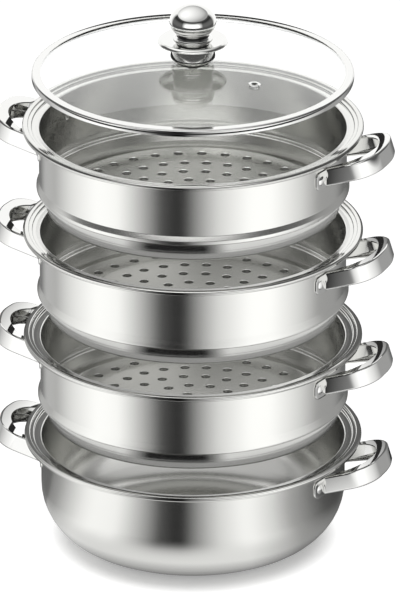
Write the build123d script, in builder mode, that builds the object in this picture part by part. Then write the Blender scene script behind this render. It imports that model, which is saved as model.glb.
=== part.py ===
# Three-tier steamer pot: a wide pot, three perforated steamer baskets that nest into each other
# and a glass lid, shown lifted apart on one upright axis.
# Origin: centre of the pot's base on the table. +Z is up and the handles lie along X.
from build123d import *
from math import asin, atan2, cos, degrees, hypot, radians, sin, tan
import os

os.makedirs("parts", exist_ok=True)

# Sizes shared by the pot and the baskets
sheet = 0.7
inner_radius = 140.5
outer_radius = inner_radius + sheet
wall_line = inner_radius + sheet / 2
overrun = 2.0
fit_gap = 0.3
seat_gap = 0.05
quarter_turn = 90

# Rim, measured from the centre of its rolled edge
seat_drop = 1.0
seat_width = 7.7
seat_radius = inner_radius + seat_width
seat_bend = 0.9
shelf_rise = 0.6
curl_radius = 2.6
curl_reach = 13.4
curl_centre_radius = inner_radius + curl_reach
curl_line = curl_radius - sheet / 2
curl_opening = 1.0
curl_bend_share = 0.98
shelf_bend = 0.5

# Pot bowl and its bonded base
pot_rim_level = 104.0
base_radius = 90.0
base_thickness = 3.0
base_edge = 1.0
base_groove_step = 2.0
bowl_turn_out_share = 0.41
bowl_turn_up_share = 0.31
bowl_bend_fill_share = 0.98

# Steamer basket, levels counted down from its rim
bulge = 2.5
bulge_top_drop = 52.0
bulge_drop = 57.0
rest_drop = 61.0
rest_inset = 1.5
rest_inner_radius = inner_radius - rest_inset
shoulder_drop = 69.5
shoulder_inset = 3.9
shoulder_radius = inner_radius - shoulder_inset
foot_inset = 5.9
foot_radius = inner_radius - foot_inset
foot_drop = 78.5
foot_width = 7.0
foot_bend = 2.2
floor_drop = 73.0
dome_rise = 1.8
dome_ramp = 3.0
bulge_bend = 2.0
shoulder_bend = 1.5
dome_bend = 2.0

# Steam holes: one ring between the foot and the dome, the others evenly spaced on the dome
hole_radius = 4.2
inner_ring_counts = (6, 13, 19, 26)
outer_ring_count = 32
outer_ring_inset = 16.1
outer_ring_radius = foot_radius - foot_width - outer_ring_inset
dome_to_outer_ring = 12.5
dome_radius = outer_ring_radius - dome_to_outer_ring
dome_margin = 15.0
hole_ring_pitch = (dome_radius - dome_margin) / len(inner_ring_counts)

# How far the set is lifted apart
basket_count = 3
basket_lifts = (39.6, 44.0, 42.1)
lid_lift = 47.1

# Loop handle: a stamped channel with a riveted tab on each end
handle_sheet = 1.2
handle_height = 17.0
handle_half_width = 39.3
handle_inset = 6.2
handle_root = outer_radius - handle_inset
handle_drop = 22.5
handle_tilt = 17.5
nose_beyond_rim = 31.24
handle_reach = (curl_centre_radius + curl_radius + nose_beyond_rim - handle_root) / cos(radians(handle_tilt))
handle_nose = 8.0
corner_inset = 14.3
handle_corner = handle_half_width - corner_inset
nose_bend_excess = 20.7
handle_nose_bend = handle_half_width + nose_bend_excess
handle_edge = 2.0
grip_offset = 2.1
nose_lip = 10.7
grip_length = handle_reach - grip_offset - nose_lip
side_lip = 2.5
grip_half_width = handle_half_width - side_lip
tab_length = 14.7
tab_end = handle_half_width + tab_length
tab_corner = 5.5
tab_inner = outer_radius + seat_gap
tab_outer = tab_inner + handle_sheet

# Rivets
rivet_beyond_loop = 7.3
rivet_offset = handle_half_width + rivet_beyond_loop
rivet_shank_radius = 2.0
rivet_hole_gap = 0.05
rivet_head_radius = 4.5
rivet_head_height = 1.7
rivet_tail_height = 1.2

# Lid
glass_thickness = 4.0
glass_rise = 10.4
band_sheet = 0.6
band_play = 0.55
band_radius = seat_radius - sheet / 2 - band_play
band_filler = 3.7
glass_radius = band_radius - band_sheet - band_filler
glass_sphere = (glass_radius**2 + glass_rise**2) / (2 * glass_rise)
band_glass_gap = 0.9
band_height = glass_thickness + 2 * (band_sheet + band_glass_gap)
band_top_lip = 8.0
band_bottom_lip = 5.0
band_bend = 1.2
vent_reach = 75.2
vent_angle = -26.6
vent_bore_radius = 2.9
vent_wall = 0.5
vent_flange_radius = 5.6
vent_flange = 0.8

# Knob, levels counted up from the top of the glass on the axis
gasket_thickness = 0.8
upper_gasket_radius = 15.0
lower_gasket_radius = 11.0
spacer_radius = 6.0
foot_cup_bottom_radius = 15.5
foot_cup_radius = 20.6
foot_cup_belly = 4.4
foot_cup_top_radius = 18.6
foot_cup_wall = 1.0
guard_level = 22.6
guard_sheet = 1.0
guard_radius = 32.2
guard_drop = 3.2
guard_bend = 2.2
collar_height = 3.4
collar_radius = 18.4
collar_lip = 0.8
neck_radius = 15.2
neck_ring_height = 1.6
neck_ring_inset = 0.7
ball_radius = 21.4
ball_lower_height = 10.8
ball_upper_height = 17.1
ball_side_share = 0.7
ball_steps = 4
ball_step_groove = 0.7
ball_seam = 0.3
ball_wall = 0.9
spigot_height = 1.6
boss_radius = 6.0

# Screw through the lid
screw_radius = 2.5
screw_bore_gap = 0.3
screw_head_radius = 4.8
screw_head_height = 2.9
screw_socket_radius = 2.0
screw_socket_depth = 1.8
screw_end_gap = 3.0
thread_gap = 0.05
washer_radius = 9.0
washer_thickness = 1.2


def rim_outline(level):
    """Corners and bend radii of the sheet's middle line, from the wall out to the rolled edge."""
    seat_line = level - seat_drop - sheet / 2
    shelf_line = level + shelf_rise
    curl_inner = curl_centre_radius - curl_line
    curl_outer = curl_centre_radius + curl_line
    curl_bend = curl_line * curl_bend_share
    corners = [
        (wall_line, seat_line),
        (seat_radius, seat_line),
        (seat_radius, shelf_line),
        (curl_inner, shelf_line),
        (curl_inner, level + curl_line),
        (curl_outer, level + curl_line),
        (curl_outer, level - curl_line),
        (curl_inner + curl_opening, level - curl_line),
    ]
    bends = [seat_bend, seat_bend, shelf_bend, shelf_bend, shelf_bend, curl_bend, curl_bend]
    return corners, bends


def bowl_outline(level):
    """The pot's flat bottom and its two long bends up to the wall."""
    floor_line = base_thickness + sheet / 2
    turn_out = base_radius + bowl_turn_out_share * (wall_line - base_radius)
    turn_up = floor_line + bowl_turn_up_share * (level - floor_line)
    run_out = wall_line - turn_out
    run_up = turn_up - floor_line
    slope = atan2(run_up, run_out)
    lower_reach = turn_out - base_radius
    upper_reach = bowl_bend_fill_share * hypot(run_out, run_up) - lower_reach
    corners = [(0, floor_line), (turn_out, floor_line), (wall_line, turn_up)]
    bends = [lower_reach / tan(slope / 2), upper_reach / tan((radians(quarter_turn) - slope) / 2)]
    return corners, bends


def basket_outline(level):
    """The basket's domed floor, its foot, the shoulder it rests on and the bulge above."""
    foot_line = level - foot_drop + sheet / 2
    floor_line = level - floor_drop
    dome_line = floor_line + dome_rise
    bulge_line = wall_line + bulge
    corners = [
        (0, dome_line),
        (dome_radius, dome_line),
        (dome_radius + dome_ramp, floor_line),
        (foot_radius - foot_width, floor_line),
        (foot_radius - foot_width, foot_line),
        (foot_radius - sheet / 2, foot_line),
        (shoulder_radius - sheet / 2, level - shoulder_drop),
        (rest_inner_radius, level - rest_drop + sheet / 2),
        (bulge_line, level - rest_drop + sheet / 2),
        (bulge_line, level - bulge_drop),
        (wall_line, level - bulge_top_drop),
    ]
    bends = [dome_bend, dome_bend, shoulder_bend, foot_bend, foot_bend, shoulder_bend, shoulder_bend,
             bulge_bend, bulge_bend, bulge_bend]
    return corners, bends


def drawn_shell(lower_outline, level):
    """A drawn sheet-steel vessel: its middle line is given the sheet's width and spun."""
    lower_corners, lower_bends = lower_outline(level)
    rim_corners, rim_bends = rim_outline(level)
    with BuildPart() as shell:
        with BuildSketch(Plane.XZ):
            with BuildLine() as middle:
                FilletPolyline(*lower_corners, *rim_corners, radius=lower_bends + rim_bends)
            trace(middle.line, line_width=sheet)
        revolve(axis=Axis.Z)
    return shell.part


def outward_plane(turn, level):
    """A plane on the pot's axis that faces outwards in one direction, at the rivets' height."""
    return Plane((0, 0, level - handle_drop), x_dir=(0, 0, 1), z_dir=(cos(radians(turn)), sin(radians(turn)), 0))


def rivet_turns():
    """Directions of the four rivets, two on each side."""
    spread = degrees(asin(rivet_offset / outer_radius))
    return [side + turn for side in (0, 180) for turn in (-spread, spread)]


def rivet_drills(level):
    """Radial pins of the rivet holes' size, to be cut from a wall or a tab."""
    with BuildPart() as drills:
        for turn in rivet_turns():
            with BuildSketch(outward_plane(turn, level).offset(inner_radius - overrun)):
                Circle(rivet_shank_radius + rivet_hole_gap)
            extrude(amount=sheet + handle_sheet + 2 * overrun)
    return drills.part


def cap_height(height):
    """Height of a rivet's round cap halfway out to its edge."""
    sphere = (rivet_head_radius**2 + height**2) / (2 * height)
    return (sphere**2 - (rivet_head_radius / 2) ** 2) ** 0.5 - sphere + height


def rivet_group(level):
    """Four domed rivets, each through a handle tab and the wall."""
    tail = inner_radius - 2 * seat_gap
    head = tab_outer + seat_gap
    with BuildPart() as one:
        with BuildSketch(Plane.XZ):
            with BuildLine():
                ThreePointArc((0, head + rivet_head_height),
                              (rivet_head_radius / 2, head + cap_height(rivet_head_height)),
                              (rivet_head_radius, head))
                ThreePointArc((0, tail - rivet_tail_height),
                              (rivet_head_radius / 2, tail - cap_height(rivet_tail_height)),
                              (rivet_head_radius, tail))
                Polyline((rivet_head_radius, head), (rivet_shank_radius, head),
                         (rivet_shank_radius, tail), (rivet_head_radius, tail))
                Line((0, tail - rivet_tail_height), (0, head + rivet_head_height))
            make_face()
        revolve(axis=Axis.Z)
    with BuildPart() as group:
        for turn in rivet_turns():
            with Locations(outward_plane(turn, level)):
                add(one.part)
    return group.part


def handle_shape():
    """One loop handle on the +X side, its rim level at zero."""
    with BuildPart() as loop:
        with BuildSketch() as outline:
            with BuildLine():
                bow = FilletPolyline(
                    (-overrun, handle_half_width),
                    (handle_reach - handle_nose, handle_half_width),
                    (handle_reach, 0),
                    (handle_reach - handle_nose, -handle_half_width),
                    (-overrun, -handle_half_width),
                    radius=[handle_corner, handle_nose_bend, handle_corner],
                )
                Line(bow @ 1, bow @ 0)
            make_face()
        extrude(amount=handle_height / 2, both=True)
        rounded = loop.edges().filter_by(Plane.XY).sort_by(Axis.X)[2:]
        fillet(rounded, radius=handle_edge)
        with BuildSketch():
            add(outline.sketch)
            offset(amount=-handle_sheet, kind=Kind.INTERSECTION)
            with Locations((-overrun, 0)):
                Rectangle(2 * handle_sheet + overrun, 2 * (handle_half_width - handle_sheet))
        extrude(amount=handle_height / 2 - handle_sheet, both=True, mode=Mode.SUBTRACT)
        with BuildSketch():
            with Locations((grip_offset, 0)):
                Ellipse(grip_length, grip_half_width)
            with Locations((grip_offset, 0)):
                Rectangle(2 * grip_offset + 2 * overrun, 2 * grip_half_width, align=(Align.MAX, Align.CENTER))
        extrude(amount=handle_height, both=True, mode=Mode.SUBTRACT)

    with BuildPart() as tabs:
        for side in (-1, 1):
            with BuildSketch(Plane.YZ) as outline:
                with Locations((side * (handle_half_width - handle_sheet + tab_end) / 2, 0)):
                    Rectangle(tab_end - handle_half_width + handle_sheet, handle_height)
                fillet(outline.vertices().sort_by(lambda corner: -side * corner.Y)[:2], radius=tab_corner)
            extrude(amount=tab_outer + overrun)
        with BuildSketch(Plane.XY.offset(-handle_height)):
            Circle(tab_outer)
            Circle(tab_inner, mode=Mode.SUBTRACT)
        extrude(amount=2 * handle_height, mode=Mode.INTERSECT)

    with BuildPart() as handle:
        with Locations(Location((handle_root, 0, -handle_drop), (0, -handle_tilt, 0))):
            add(loop.part)
        with BuildSketch(Plane.XY.offset(-2 * handle_height - handle_drop)):
            Circle(tab_inner)
        extrude(amount=4 * handle_height, mode=Mode.SUBTRACT)
        with Locations((0, 0, -handle_drop)):
            add(tabs.part)
        add(rivet_drills(0), mode=Mode.SUBTRACT)
    return handle.part


def save(part, name):
    """Give a finished piece its name and write it."""
    part.label = name
    export_step(part, f"parts/{name}.step")


def save_handles_and_rivets(prefix, level):
    """The two handles and four rivets of one vessel."""
    for side, turn in (("right", 0), ("left", 180)):
        with BuildPart() as placed:
            with Locations(Location((0, 0, level), (0, 0, turn))):
                add(loop_handle)
        save(placed.part, f"{prefix}_handle_{side}")
    save(rivet_group(level), f"{prefix}_rivets")


# The pot: a drawn bowl on a bonded base disc
with BuildPart() as pot_bowl:
    add(drawn_shell(bowl_outline, pot_rim_level))
    add(rivet_drills(pot_rim_level), mode=Mode.SUBTRACT)
save(pot_bowl.part, "pot_bowl")

with BuildPart() as pot_base_disc:
    with BuildSketch():
        Circle(base_radius - base_groove_step)
    extrude(amount=base_thickness - seat_gap)
    chamfer(pot_base_disc.edges().group_by(Axis.Z)[0], length=base_edge)
save(pot_base_disc.part, "pot_base_disc")

loop_handle = handle_shape()
save_handles_and_rivets("pot", pot_rim_level)

# The three baskets, each lifted off the vessel below
stack_step = rest_drop - seat_drop + fit_gap
basket_level = pot_rim_level
for number in range(1, basket_count + 1):
    basket_level = basket_level + stack_step + basket_lifts[number - 1]
    with BuildPart() as basket:
        add(drawn_shell(basket_outline, basket_level))
        add(rivet_drills(basket_level), mode=Mode.SUBTRACT)
        with BuildSketch(Plane.XY.offset(basket_level - foot_drop)):
            Circle(hole_radius)
            for ring, count in enumerate(inner_ring_counts, start=1):
                with PolarLocations(ring * hole_ring_pitch, count):
                    Circle(hole_radius)
            with PolarLocations(outer_ring_radius, outer_ring_count):
                Circle(hole_radius)
        extrude(amount=foot_drop - rest_drop, mode=Mode.SUBTRACT)
    save(basket.part, f"steamer_{number}_basket")
    save_handles_and_rivets(f"steamer_{number}", basket_level)

# The lid stands over the top basket. Its level is the middle of the rim band.
lid_level = basket_level - seat_drop + band_height / 2 + fit_gap + lid_lift
glass_middle = lid_level + glass_rise
glass_top = glass_middle + glass_thickness / 2
glass_under = glass_middle - glass_thickness / 2
sphere_centre = glass_middle - glass_sphere


def glass_height(radius, lift):
    """Level of a surface that lies lift above the glass's middle, at a radius."""
    return sphere_centre + ((glass_sphere + lift) ** 2 - radius**2) ** 0.5


vent_tilt = degrees(asin(vent_reach / glass_sphere))
vent_axis = Vector(sin(radians(vent_tilt)) * cos(radians(vent_angle)),
                   sin(radians(vent_tilt)) * sin(radians(vent_angle)),
                   cos(radians(vent_tilt)))
vent_plane = Plane(Vector(0, 0, sphere_centre) + vent_axis * glass_sphere, z_dir=vent_axis)
vent_sleeve = vent_bore_radius + vent_wall
half_glass = glass_thickness / 2
screw_bore = screw_radius + screw_bore_gap

with BuildPart() as lid_glass:
    with BuildSketch(Plane.XZ):
        with BuildLine():
            upper = ThreePointArc((0, glass_top),
                                  (glass_radius / 2, glass_height(glass_radius / 2, half_glass)),
                                  (glass_radius, glass_height(glass_radius, half_glass)))
            lower = ThreePointArc((0, glass_under),
                                  (glass_radius / 2, glass_height(glass_radius / 2, -half_glass)),
                                  (glass_radius, glass_height(glass_radius, -half_glass)))
            Line(upper @ 0, lower @ 0)
            Line(upper @ 1, lower @ 1)
        make_face()
    revolve(axis=Axis.Z)
    with BuildSketch(Plane.XY.offset(lid_level)):
        Circle(screw_bore)
    extrude(amount=glass_rise + glass_thickness, mode=Mode.SUBTRACT)
    with BuildSketch(vent_plane.offset(-glass_thickness)):
        Circle(vent_sleeve + seat_gap)
    extrude(amount=2 * glass_thickness, mode=Mode.SUBTRACT)
save(lid_glass.part, "lid_glass")

# The rim band, rolled from a strip. Each of its two bends is drawn as two flats
with BuildPart() as lid_rim_band:
    band_skins = []
    for inset in (0, band_sheet):
        reach = band_radius - inset
        half_band = band_height / 2 - inset
        bend = band_bend + band_sheet / 2 - inset
        flat = bend * (1 - cos(radians(quarter_turn / 2)))
        band_skins.append([
            (band_radius - band_top_lip, lid_level + half_band),
            (reach - bend, lid_level + half_band),
            (reach - flat, lid_level + half_band - flat),
            (reach, lid_level + half_band - bend),
            (reach, lid_level - half_band + bend),
            (reach - flat, lid_level - half_band + flat),
            (reach - bend, lid_level - half_band),
            (band_radius - band_bottom_lip, lid_level - half_band),
        ])
    outer_skin, inner_skin = band_skins
    with BuildSketch(Plane.XZ):
        with BuildLine():
            Polyline(*outer_skin, *inner_skin[::-1], close=True)
        make_face()
    revolve(axis=Axis.Z)
save(lid_rim_band.part, "lid_rim_band")

with BuildPart() as lid_vent_grommet:
    with BuildSketch(vent_plane.offset(-half_glass - vent_flange - seat_gap)):
        Circle(vent_flange_radius)
    extrude(amount=vent_flange)
    with BuildSketch(vent_plane.offset(half_glass + seat_gap)):
        Circle(vent_flange_radius)
    extrude(amount=vent_flange)
    flange_edges = lid_vent_grommet.edges().filter_by(GeomType.CIRCLE)
    fillet(flange_edges, radius=vent_flange / 3)
    with BuildSketch(vent_plane.offset(-half_glass - vent_flange)):
        Circle(vent_sleeve)
    extrude(amount=glass_thickness + 2 * vent_flange)
    with BuildSketch(vent_plane.offset(-glass_thickness)):
        Circle(vent_bore_radius)
    extrude(amount=2 * glass_thickness, mode=Mode.SUBTRACT)
save(lid_vent_grommet.part, "lid_vent_grommet")


def spun_piece(corners):
    """A solid of revolution about the knob's axis from the corners of its half section."""
    with BuildPart() as piece:
        with BuildSketch(Plane.XZ):
            with BuildLine():
                Polyline(*corners, close=True)
            make_face()
        revolve(axis=Axis.Z)
    return piece.part


def washer_piece(radius, bottom, thickness):
    """A flat ring round the screw."""
    top = bottom + thickness
    return spun_piece([(screw_bore, bottom), (radius, bottom), (radius, top), (screw_bore, top)])


# The knob stands on a silicone ring and is pulled down by one long screw
cup_bottom = glass_top + gasket_thickness
guard_top = glass_top + guard_level
guard_under = guard_top - guard_sheet
collar_top = guard_top + collar_height
ball_bottom = collar_top + neck_ring_height
seam_level = ball_bottom + ball_lower_height

save(washer_piece(upper_gasket_radius, glass_top, gasket_thickness), "knob_upper_gasket")
gasket_bottom = glass_height(lower_gasket_radius, -half_glass) - gasket_thickness
save(washer_piece(lower_gasket_radius, gasket_bottom, gasket_thickness), "knob_lower_gasket")
washer_bottom = gasket_bottom - washer_thickness
save(washer_piece(washer_radius, washer_bottom, washer_thickness), "knob_washer")
save(spun_piece([(screw_bore, cup_bottom), (spacer_radius, cup_bottom),
                 (spacer_radius, guard_under - foot_cup_wall), (screw_bore, guard_under - foot_cup_wall)]),
     "knob_spacer")

with BuildPart() as knob_foot_cup:
    cup_line = foot_cup_wall / 2
    with BuildSketch(Plane.XZ):
        with BuildLine() as middle:
            FilletPolyline((screw_bore, guard_under - cup_line),
                           (foot_cup_top_radius - cup_line, guard_under - cup_line),
                           (foot_cup_radius - cup_line, cup_bottom + foot_cup_belly),
                           (foot_cup_bottom_radius - cup_line, cup_bottom + cup_line),
                           radius=[foot_cup_wall, 2 * foot_cup_wall])
        trace(middle.line, line_width=foot_cup_wall)
    revolve(axis=Axis.Z)
save(knob_foot_cup.part, "knob_foot_cup")

with BuildPart() as knob_finger_guard:
    guard_line = guard_sheet / 2
    with BuildSketch(Plane.XZ):
        with BuildLine() as middle:
            FilletPolyline((screw_bore, guard_top - guard_line),
                           (guard_radius - guard_line, guard_top - guard_line),
                           (guard_radius - guard_line, guard_top - guard_drop),
                           radius=[guard_bend])
        trace(middle.line, line_width=guard_sheet)
    revolve(axis=Axis.Z)
save(knob_finger_guard.part, "knob_finger_guard")

save(spun_piece([(screw_bore, guard_top), (collar_radius - collar_lip, guard_top),
                 (collar_radius, guard_top + collar_lip), (neck_radius, collar_top), (screw_bore, collar_top)]),
     "knob_collar")
save(washer_piece(neck_radius - neck_ring_inset, collar_top, neck_ring_height), "knob_neck_ring")


def swell_radius(height):
    """Radius of the ball's lower half at a level, from the neck out to the seam."""
    share = (height - ball_bottom) / ball_lower_height
    return neck_radius + (ball_radius - neck_radius) * sin(radians(quarter_turn) * share)


# Lower half of the ball: grooved steps outside, a hollow round a threaded boss inside
with BuildPart() as knob_body:
    step_rise = ball_lower_height / ball_steps
    stairs = []
    for step in range(ball_steps - 1):
        low = ball_bottom + step * step_rise
        groove = low + step_rise - ball_step_groove
        stairs += [(swell_radius(low), low), (swell_radius(groove), groove),
                   (swell_radius(groove) - ball_step_groove, groove),
                   (swell_radius(low + step_rise) - ball_step_groove, low + step_rise)]
    stairs.append((swell_radius(seam_level - step_rise), seam_level - step_rise))
    thread_radius = screw_radius + thread_gap
    spigot_radius = ball_radius - ball_wall - seat_gap
    spigot_top = seam_level + spigot_height
    cavity_floor = ball_bottom + 2 * ball_wall
    with BuildSketch(Plane.XZ):
        with BuildLine():
            Polyline((thread_radius, ball_bottom), *stairs, (ball_radius, seam_level), (spigot_radius, seam_level),
                     (spigot_radius, spigot_top), (spigot_radius - ball_wall, spigot_top),
                     (spigot_radius - ball_wall, seam_level), (neck_radius - 2 * ball_wall, cavity_floor),
                     (boss_radius, cavity_floor), (boss_radius, seam_level), (thread_radius, seam_level),
                     close=True)
        make_face()
    revolve(axis=Axis.Z)
save(knob_body.part, "knob_body")

with BuildPart() as knob_cap:
    cap_bottom = seam_level + ball_seam
    cap_line = ball_radius - ball_wall / 2
    cap_rise = ball_upper_height - ball_wall / 2
    side_bend = ball_side_share * cap_line
    side_centre = cap_line - side_bend
    crown_rise = cap_rise - side_bend
    crown_drop = (side_centre**2 - crown_rise**2) / (2 * crown_rise)
    crown_turn = degrees(atan2(crown_drop, side_centre))
    with BuildSketch(Plane.XZ):
        with BuildLine() as middle:
            CenterArc((side_centre, cap_bottom), side_bend, start_angle=0, arc_size=crown_turn)
            CenterArc((0, cap_bottom - crown_drop), cap_rise + crown_drop,
                      start_angle=crown_turn, arc_size=quarter_turn - crown_turn)
        trace(middle.line, line_width=ball_wall)
    revolve(axis=Axis.Z)
save(knob_cap.part, "knob_cap")

with BuildPart() as knob_screw:
    head_top = washer_bottom
    head_bottom = head_top - screw_head_height
    screw_end = seam_level - screw_end_gap
    with BuildSketch(Plane.XY.offset(head_bottom)):
        Circle(screw_head_radius)
    extrude(amount=screw_head_height)
    fillet(knob_screw.edges().group_by(Axis.Z)[0], radius=screw_head_height / 3)
    with BuildSketch(Plane.XY.offset(head_top)):
        Circle(screw_radius)
    extrude(amount=screw_end - head_top)
    with BuildSketch(Plane.XY.offset(head_bottom)):
        RegularPolygon(screw_socket_radius, 6)
    extrude(amount=screw_socket_depth, mode=Mode.SUBTRACT)
save(knob_screw.part, "knob_screw")

print("lid level", lid_level, "top of the knob", seam_level + ball_seam + ball_upper_height)
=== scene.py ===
# %% [markdown]
# # A three-tier steamer pot in stainless steel and glass
# The real set is a wide pot, three perforated baskets and a glass lid, drawn and spun from thin
# steel sheet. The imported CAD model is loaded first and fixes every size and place. Blender adds
# smooth surfaces, punched holes, rivets and finishes round it, and never moves it.

# %% Load the frame
import math

import bmesh
import bpy
from mathutils import Matrix, Vector


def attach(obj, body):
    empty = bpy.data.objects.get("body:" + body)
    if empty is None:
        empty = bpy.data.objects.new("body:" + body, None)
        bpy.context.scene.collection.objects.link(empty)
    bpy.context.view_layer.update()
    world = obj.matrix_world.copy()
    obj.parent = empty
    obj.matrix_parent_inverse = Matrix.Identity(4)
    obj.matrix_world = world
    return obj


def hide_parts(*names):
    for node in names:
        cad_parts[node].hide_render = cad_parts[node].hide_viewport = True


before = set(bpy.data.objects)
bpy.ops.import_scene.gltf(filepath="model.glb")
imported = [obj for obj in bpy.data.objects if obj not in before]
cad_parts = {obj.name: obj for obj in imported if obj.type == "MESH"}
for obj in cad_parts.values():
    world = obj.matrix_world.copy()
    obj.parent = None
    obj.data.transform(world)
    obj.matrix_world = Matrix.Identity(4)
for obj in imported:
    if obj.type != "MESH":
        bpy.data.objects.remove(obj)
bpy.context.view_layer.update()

# %% [markdown]
# ## Helpers for node trees
# Materials and Geometry Nodes are both trees of nodes. `node` makes any node with its settings, and
# an input takes either a value or another node's output. `add` gives the output, and the others do
# so for the nodes that come up most. A kind is written without the ShaderNode or GeometryNode that
# its tree implies. `linear` turns a colour as designers write it to a shader's linear values.

# %% Node and colour helpers
MM = 0.001


def node(tree, kind, inputs=None, **settings):
    """Add one node. Each input is given a value, or the output that feeds it."""
    made = tree.nodes.new(kind if "Node" in kind else tree.bl_idname.replace("Tree", kind))
    for key, value in settings.items():
        setattr(made, key, value)
    for key, value in (inputs or {}).items():
        if isinstance(value, bpy.types.NodeSocket):
            tree.links.new(value, made.inputs[key])
        else:
            made.inputs[key].default_value = value
    return made


def add(tree, kind, inputs=None, out=0, **settings):
    """Add one node and give one of its outputs."""
    return node(tree, kind, inputs, **settings).outputs[out]


def maths(tree, operation, *values, **settings):
    """A sum on numbers."""
    return add(tree, "ShaderNodeMath", dict(enumerate(values)), operation=operation, **settings)


def whole_maths(tree, operation, *values):
    """A sum on whole numbers."""
    return add(tree, "FunctionNodeIntegerMath", dict(enumerate(values)), operation=operation)


def times(tree, one, other):
    """One number times another."""
    return maths(tree, "MULTIPLY", one, other)


def remap(tree, value, start, end, low=0.0, high=1.0, **settings):
    """A number moved from the range start to end into the range low to high."""
    inputs = {"Value": value, "From Min": start, "From Max": end, "To Min": low, "To Max": high}
    return add(tree, "ShaderNodeMapRange", inputs, **settings)


def mix(tree, share, low, high):
    """A number that goes from low to high with a share."""
    return add(tree, "ShaderNodeMix", {0: share, 2: low, 3: high})


def combine(tree, **parts):
    """A vector from its X, Y and Z."""
    return add(tree, "ShaderNodeCombineXYZ", parts)


def linear(code):
    """An sRGB hex colour such as d0d0ce as linear red, green, blue and alpha."""
    shares = [int(code[place:place + 2], 16) / 255 for place in (0, 2, 4)]
    return [share / 12.92 if share <= 0.04045 else ((share + 0.055) / 1.055) ** 2.4
            for share in shares] + [1.0]


white = linear("ffffff")
print("mid grey", [round(value, 3) for value in linear("808080")])

# %% [markdown]
# ## Satin and polished stainless steel
# The walls are 18/8 stainless sheet, spun and then brushed round and round. The eye gets broad,
# soft reflections and faint lines round the wall. The lines are a noise that reads the height
# finely and the angle coarsely. Real scratches are some 0.05 mm apart, and here they are drawn
# 0.6 mm apart, as fine as the render can show. The punched holes and tight nooks get painted shade,
# a dark tint that grows where the steel is closed in, and the rolled rim is burnished by its
# rollers.

# %% Steel finishes


def new_material(name):
    """An empty node material and its tree."""
    material = bpy.data.materials.new(name)
    material.use_nodes = True
    material.node_tree.nodes.clear()
    return material, material.node_tree


def show(tree, shader):
    """Make a shader the surface of its material."""
    node(tree, "OutputMaterial", {"Surface": shader})


def object_place(tree):
    """The shaded point in the object's own coordinates."""
    return add(tree, "TexCoord", out="Object")


def noise(tree, place, scale, detail):
    """Smooth random values between 0 and 1."""
    return add(tree, "TexNoise", {"Vector": place, "Scale": scale, "Detail": detail})


def relief(tree, height, depth, strength):
    """A bump, its depth in millimetres."""
    inputs = {"Height": height, "Distance": depth * MM, "Strength": strength}
    return add(tree, "Bump", inputs)


def round_coordinates(tree):
    """The place unrolled round the upright axis: turn, distance from the axis and height."""
    parts = node(tree, "SeparateXYZ", {"Vector": object_place(tree)}).outputs
    turn = maths(tree, "ARCTAN2", parts["Y"], parts["X"])
    flat = combine(tree, X=parts["X"], Y=parts["Y"])
    reach = add(tree, "VectorMath", {0: flat}, "Value", operation="LENGTH")
    return turn, reach, parts["Z"]


brush_turns = 1.5                             # noise cells in one radian, so that lines run long
painted_hole_shade, hole_reach = linear("2a2a29"), 5   # painted shade in the holes, and how far it looks
shut_in, open_wall, most_painted_shade = 0.25, 0.7, 0.9   # how open a place is, from full painted shade to none
brush_relief = 0.6


def brushed_steel(name, colour, roughness, spread, line_pitch, depth, rim_reach, rim_roughness):
    """Steel with scratches round the axis, painted shade in its holes and burnished past rim_reach.
    """
    material, tree = new_material(name)
    turn, reach, height = round_coordinates(tree)
    per_metre = 1 / (line_pitch * MM)
    grain = combine(tree, X=times(tree, turn, brush_turns), Y=times(tree, reach, per_metre),
                    Z=times(tree, height, per_metre))
    lines = noise(tree, grain, 1.0, 3.0)
    rough = remap(tree, lines, 0.0, 1.0, roughness - spread, roughness + spread)
    # Painted shade: the base colour darkens where little open space is near, in the holes and tight
    # corners.
    nearby = add(tree, "AmbientOcclusion", {"Distance": hole_reach * MM}, "AO", samples=8)
    hollow = remap(tree, nearby, shut_in, open_wall, most_painted_shade, 0.0)
    shade = add(tree, "Mix", {0: hollow, 6: linear(colour), 7: painted_hole_shade}, 2, data_type="RGBA")
    rim = maths(tree, "GREATER_THAN", reach, rim_reach * MM)
    brushed = maths(tree, "SUBTRACT", brush_relief, rim, use_clamp=True)
    show(tree, add(tree, "BsdfPrincipled", {
        "Base Color": shade, "Metallic": 1.0,
        "Roughness": mix(tree, rim, rough, rim_roughness),
        "Normal": relief(tree, lines, depth, brushed)}))
    return material


def polished_steel(name, colour, roughness):
    """Buffed steel: nearly a mirror, with a slow haze left by the buffing wheel."""
    material, tree = new_material(name)
    haze = noise(tree, object_place(tree), 1 / (12 * MM), 2.0)
    show(tree, add(tree, "BsdfPrincipled", {
        "Base Color": linear(colour), "Metallic": 1.0,
        "Roughness": remap(tree, haze, 0.0, 1.0, 0.6 * roughness, 1.4 * roughness)}))
    return material


satin_steel = brushed_steel("satin_stainless_steel", "cfcfcc", roughness=0.2, spread=0.03,
                            line_pitch=0.6, depth=0.004, rim_reach=144.5, rim_roughness=0.06)
bright_steel = polished_steel("polished_stainless_steel", "d6d6d4", roughness=0.05)
print("steels", satin_steel.name, bright_steel.name)

# %% [markdown]
# ## Glass and silicone
# The lid is soda-lime glass, pressed and tempered, 4 mm thick. It is clear with a breath of green,
# and is seen mostly by its edge and its reflections. The seals under the knob are black moulded
# silicone, dull and soft.

# %% Glass and silicone finishes


def tempered_glass():
    """Clear soda-lime glass with the faint waviness that tempering leaves."""
    material, tree = new_material("tempered_soda_lime_glass")
    wave = noise(tree, object_place(tree), 1 / (60 * MM), 1.0)
    show(tree, add(tree, "BsdfPrincipled", {
        "Base Color": linear("fdfefd"), "Roughness": 0.0, "IOR": 1.52, "Transmission Weight": 1.0,
        "Specular IOR Level": 0.05, "Normal": relief(tree, wave, 0.02, 0.3)}))
    return material


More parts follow.
